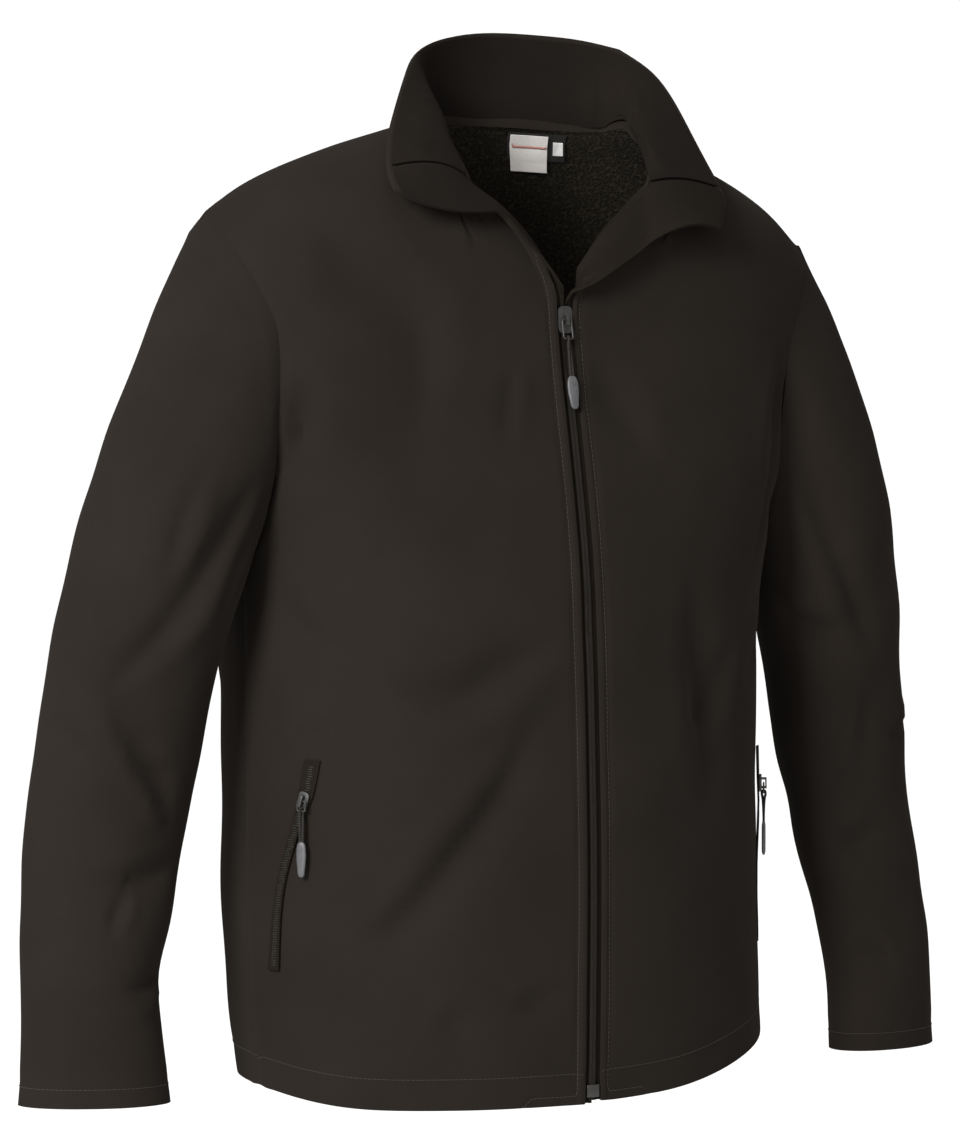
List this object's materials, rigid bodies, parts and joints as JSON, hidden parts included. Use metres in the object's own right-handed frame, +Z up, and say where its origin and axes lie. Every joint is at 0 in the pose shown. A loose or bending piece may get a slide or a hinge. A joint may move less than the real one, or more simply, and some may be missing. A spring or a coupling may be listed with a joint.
{
  "type": "softshell jacket",
  "caption": "Hollow softshell jacket with a turned-back stand collar, long set-in sleeves, a full-length front zip with a hanging cord pull, and zipped hand pockets in the side fronts.",
  "frame": {"origin": "between the shoulders, at the height of the neck ends of the shoulder seams, where a wearer or a form holds the jacket", "axes": "+Z up, the front and its zip face -Y, and the wearer's right sleeve lies toward -X"},
  "size_m": [0.7804, 0.292, 0.7933],
  "materials": {
    "shell": "matt stretch woven with a fleece back",
    "facing": "matt stretch woven",
    "zip_tape": "matt woven tape with a moulded coil",
    "slider": "satin black",
    "pull": "dark cord with a moulded grey tip",
    "label_base": "woven satin",
    "label_patch": "woven, plain",
    "label_tag": "woven, plain"
  },
  "bodies": {
    "jacket": {"front_right": "shell", "front_left": "shell", "back": "shell", "collar": "shell", "sleeve_right": "shell", "sleeve_left": "shell", "collar_facing": "facing", "zip_tape_right": "zip_tape", "zip_tape_left": "zip_tape", "zip_slider": "slider", "zip_box": "slider", "pocket_zip_right": "zip_tape", "pocket_zip_left": "zip_tape", "pocket_slider_right": "slider", "pocket_slider_left": "slider", "label_base": "label_base", "label_patch": "label_patch", "label_tag": "label_tag"},
    "main_pull": {"zip_pull": "pull"},
    "right_pocket_pull": {"pocket_pull_right": "pull"},
    "left_pocket_pull": {"pocket_pull_left": "pull"}
  },
  "joints": [
    {"name": "main_pull_lift", "type": "hinge", "parent": "jacket", "child": "main_pull", "pos_m": [0, -0.08998, -0.14983], "axis": [1, 0, 0], "range_deg": [-150, 0]},
    {"name": "right_pocket_pull_lift", "type": "hinge", "parent": "jacket", "child": "right_pocket_pull", "pos_m": [-0.19987, -0.05436, -0.49809], "axis": [0.5712, -0.8208, 0], "range_deg": [-120, 0]},
    {"name": "left_pocket_pull_lift", "type": "hinge", "parent": "jacket", "child": "left_pocket_pull", "pos_m": [0.19383, -0.05436, -0.4987], "axis": [0.5709, 0.821, 0], "range_deg": [-120, 0]}
  ]
}
